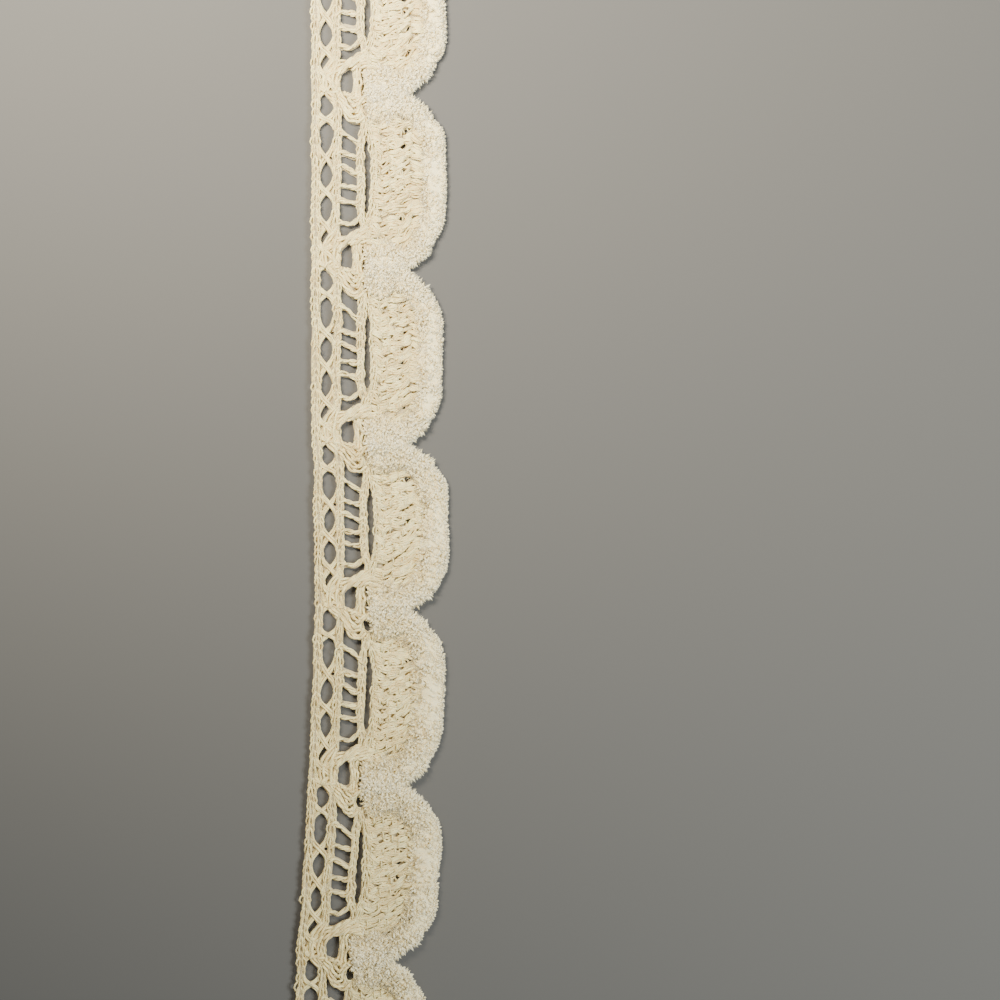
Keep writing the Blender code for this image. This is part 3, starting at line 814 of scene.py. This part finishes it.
def band(scallop, step, turn, proud=0.0):
    """A point of the pile's band, and its outward way.

    Point = centre line + outward * reach. reach = cos turn * the outward or the inward reach * the
    line's own width, its cosine drawn square by a power of 0.7. height = 1.1 + 1.1 * sin turn * (1 -
    half the inward share), so the pile thins out over the cotton. The ripples move it up, and outward
    where it bends.
    """
    centre = on_line(line, step)
    out = unit(on_line(outward, step))
    square = np.sign(np.cos(turn)) * np.abs(np.cos(turn)) ** 0.7
    inward = np.clip(-np.cos(turn), 0, 1)
    reach = np.where(inward > 0, inward_reach(centre[..., 0], scallop), OUTWARD_REACH)
    reach = (reach * centre[..., 2] + proud) * square
    across = centre[..., 0] + out[..., 0] * reach
    along = centre[..., 1] + out[..., 1] * reach + REPEAT * scallop
    lump = ripple(across, along)
    height = 1.1 + (1.1 + proud) * np.sin(turn) * (1 - 0.5 * inward)
    height = height + 0.3 * lump * np.clip(np.sin(turn), 0, 1)
    push = 0.25 * lump * np.clip(np.cos(turn), 0, 1) * (1 - 0.8 * np.clip(across - 29.0, 0, 1))
    return np.stack([across + out[..., 0] * push, along + out[..., 1] * push, height], -1), out


round_band = 2 * np.pi * np.arange(BAND_SIDES) / BAND_SIDES
step, turn = np.meshgrid(np.arange(BAND_STEPS), round_band, indexing="ij")
rings = []
for scallop in range(SCALLOPS):
    edge = np.sin(0.65 * step + 2 * scallop) + np.sin(0.23 * step + 5 * scallop)
    points, _ = band(scallop, step, turn, np.where(np.cos(turn) < -0.5, 0.35, 0.0) * edge - 0.1)
    rings.append(lay(points, scallop=scallop))
rings = np.array(rings)
# The faces are a tube's. Its points are the band's own rings, and one point to close each end.
shape = tubes(rings.mean(2), 1.0, BAND_SIDES)
ends = rings.mean(2)[:, [0, -1]]
shape["points"] = np.concatenate([rings.reshape(SCALLOPS, -1, 3), ends], 1).reshape(-1, 3)
white = np.tile(np.concatenate([(0.9 + 0.6 * np.cos(turn)).ravel(), [0.8, 0.8]]), SCALLOPS)
pile_band = piece("pile_band", shape, pile_finish, {"white": np.minimum(white, 0.9)})


# %% Tufts of pile
def hairs(roots, ways, long, thick, sides=3, swell=0.15):
    """Straight closed hairs shaped like a spindle.

    A point at the root, a ring of points at root + way * length * swell, and a point at root + way *
    length.
    """
    n = len(roots)
    ways = unit(ways)
    side = unit(np.cross(ways, [0.02, 0.01, 1.0]))
    up = np.cross(side, ways)
    turn = 2 * np.pi * np.arange(sides) / sides
    ring = np.cos(turn)[:, None] * side[:, None] + np.sin(turn)[:, None] * up[:, None]
    middle = roots + ways * long[:, None] * swell
    tips = roots + ways * long[:, None]
    points = np.concatenate([roots[:, None], middle[:, None] + ring * thick, tips[:, None]], 1)
    j = np.arange(sides) + 1
    k = j % sides + 1
    fans = [np.stack([np.zeros(sides, int), k, j], 1), np.stack([j, k, np.full(sides, sides + 1)], 1)]
    tri = np.concatenate(fans) + ((sides + 2) * np.arange(n))[:, None, None]
    return {"points": points.reshape(-1, 3), "quads": np.zeros((0, 4), int), "tris": tri.reshape(-1, 3)}


def tufts(count, each, turns, outward_by, rise, long, gather, thick, sides, swell):
    """Tufts rooted on the band between two turns: the hairs of a tuft start apart and lean together.

    Way of a hair = outward * outward_by + up * rise + the tuft's own chance way - gather / 2 * its
    start's offset from the tuft's middle; shorter and flatter along the straight side.
    """
    scallop = np.repeat(rng.integers(0, SCALLOPS, count), each)
    middle = np.stack([rng.uniform(0, BAND_STEPS - 1, count), rng.uniform(*turns, count)], 1)
    middle = np.repeat(middle, each, 0)
    offset = rng.normal(0, 1, middle.shape) * [1.0, 0.12]
    step = np.clip(middle[:, 0] + offset[:, 0], 0, BAND_STEPS - 1)
    turn = middle[:, 1] + offset[:, 1]
    strip, out = band(scallop, step, turn, -0.12)
    roots = lay(strip, scallop=scallop)
    flat = np.clip(strip[:, 0] - STRAIGHT_FROM, 0, 1) * (np.cos(turn) > 0.3)
    along_way = np.stack([-out[:, 1], -out[:, 0], np.zeros(len(turn))], -1)
    level = out * np.cos(turn)[:, None] * outward_by
    way = np.stack([level[:, 0], -level[:, 1], np.full(len(turn), rise)], -1)
    chance = np.repeat(rng.normal(0, 0.5, (count, 3)), each, 0) + rng.normal(0, 0.2, (count * each, 3))
    way = way + chance * [1, 1, 0.4] * (1 - 0.5 * flat)[:, None]
    way = way - gather * 0.5 * offset[:, :1] * along_way
    way[:, 2] = np.abs(way[:, 2]) * (1 - 0.6 * flat) + 0.04
    size = np.repeat(rng.uniform(0.7, 1.3, count), each) * rng.uniform(0.85, 1.1, count * each)
    shape = hairs(roots, way, long * size * (1 - 0.55 * flat), thick, sides, swell)
    share = np.clip(0.9 + 0.6 * np.cos(turn), 0, 0.9) + np.repeat(rng.normal(0, 0.35, count), each)
    return shape, {"white": np.repeat(share, sides + 2)}


# How many tufts and hairs in each, the turns between which they root, how far they point outward and
# up, their length, how they gather, their thickness, and the sides and swelling of a hair.
TUFTS = {
    "pile_locks": (12000, 1, (0.1, np.pi - 0.3), 0.5, 0.15, 1.5, 0.0, 0.3, 5, 0.45),
    "pile_crown": (4200, 5, (0.1, np.pi - 0.2), 0.5, 0.15, 1.2, 0.5, 0.085, 3, 0.15),
    "pile_fringe": (850, 12, (-0.2, 0.8), 1.6, 0.35, 1.4, 1.5, 0.1, 3, 0.15),
    "pile_fringe_locks": (1600, 1, (-0.1, 0.7), 1.6, 0.3, 1.5, 0.0, 0.32, 5, 0.45),
}
for label, numbers in TUFTS.items():
    shape, fields = tufts(*numbers)
    piece(label, shape, pile_finish, fields)

# %% Pile that strays over the cotton
# Single hairs lie on the stitches inward of the band, most of them close to it.
count = 11000
scallop = rng.integers(0, SCALLOPS, count)
step = rng.uniform(8, BAND_STEPS - 9, count)
inward = 2.8 + 3.6 * (1 - np.sqrt(rng.uniform(0, 1, count)))
centre = on_line(line[:, :2], step)
reach = inward * inward_reach(centre[:, 0], scallop) / NOTCH_REACH
at = centre - on_line(outward, step) * reach[:, None] + [0, REPEAT] * scallop[:, None]
strip = np.column_stack([at, rng.uniform(1.55, 1.85, count)])
way = [rng.normal(-0.2, 0.8, count), rng.normal(0, 0.8, count), rng.uniform(0.0, 0.2, count)]
long = rng.uniform(0.8, 1.7, count)
shape = hairs(lay(strip, scallop=scallop), np.stack(way, -1), long, 0.07)
share = np.clip(0.8 - 0.15 * (inward - 2.8), 0.0, 1.0) + rng.normal(0, 0.2, count)
piece("pile_stray", shape, pile_finish, {"white": np.repeat(share, 5)})

# %% [markdown]
# ## What stands for what
# The sheet is the cloth, cut to the trim's own width and length. The yarns and the pile lie on it.

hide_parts("cotton_ground")
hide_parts("chenille_edging")

# %% [markdown]
# ## Floor, light and camera
# A matt grey board takes the light of one near lamp up and to the left. Being near, it falls off, so
# the board darkens slowly toward the bottom, and every yarn has a bright upper and a dark lower
# side. A weaker lamp on the right fills the shadows. The camera looks straight down from 0.8 m
# through a long lens, so the trim shows no perspective.


# %% Floor
GRAIN_MM = 0.6
FLOOR_HALF = 2000.0  # mm, half of its side


def matt_board(name, tone):
    """One tone with a faint paper grain."""
    made, tree, shader = finish_tree(name)
    place = add(tree, "ShaderNodeTexCoord").outputs["Object"]
    paper = {"Vector": place, "Scale": 1000 / GRAIN_MM, "Detail": 2.0}
    grain = add(tree, "ShaderNodeTexNoise", paper).outputs["Fac"]
    depth = {"Height": grain, "Strength": 0.15, "Distance": 0.05 * MM}
    bump = add(tree, "ShaderNodeBump", depth).outputs[0]
    tree.links.new(bump, shader.inputs["Normal"])
    shader.inputs["Base Color"].default_value = linear(tone)
    shader.inputs["Roughness"].default_value = 0.8
    return made


corners = FLOOR_HALF * np.array([(-1, -1, 0), (1, -1, 0), (1, 1, 0), (-1, 1, 0)])
shape = {"points": corners, "quads": np.array([[0, 1, 2, 3]]), "tris": np.zeros((0, 3), int)}
floor = piece("floor", shape, matt_board("matt_grey_board", "#5B5A5A"))


# %% Light and camera
def soft_lamp(name, place, aim, size, watts, tone):
    """A round area lamp at a place in metres that faces a point."""
    data = bpy.data.lights.new(name, "AREA")
    data.shape = "DISK"
    data.size = size
    data.energy = watts
    data.color = tone
    made = bpy.data.objects.new(name, data)
    made.location = place
    made.rotation_euler = (Vector(place) - Vector(aim)).to_track_quat("Z", "Y").to_euler()
    bpy.context.scene.collection.objects.link(made)
    return made


soft_lamp("key_lamp", (-0.11, 0.199, 0.306), (-0.019, 0.467, 0.0), 0.2, 6.5, (1.09, 1.0, 0.79))
soft_lamp("side_lamp", (0.45, -0.056, 0.5), (0.05, 0.0, 0.0), 0.3, 5.4, (0.94, 1.0, 0.96))

world = bpy.data.worlds.new("soft_room")
world.use_nodes = True
world.node_tree.nodes["Background"].inputs["Color"].default_value = (1.04, 1.0, 0.88, 1.0)
world.node_tree.nodes["Background"].inputs["Strength"].default_value = 0.24
bpy.context.scene.world = world

CAMERA_HIGH = 0.8
FRAME_WIDE = 0.235
camera_data = bpy.data.cameras.new("camera")
camera_data.sensor_width = 36.0
camera_data.lens = 36.0 * CAMERA_HIGH / FRAME_WIDE
camera = bpy.data.objects.new("camera", camera_data)
camera.location = (0.03138, 0.007155, CAMERA_HIGH)
bpy.context.scene.collection.objects.link(camera)
bpy.context.scene.camera = camera
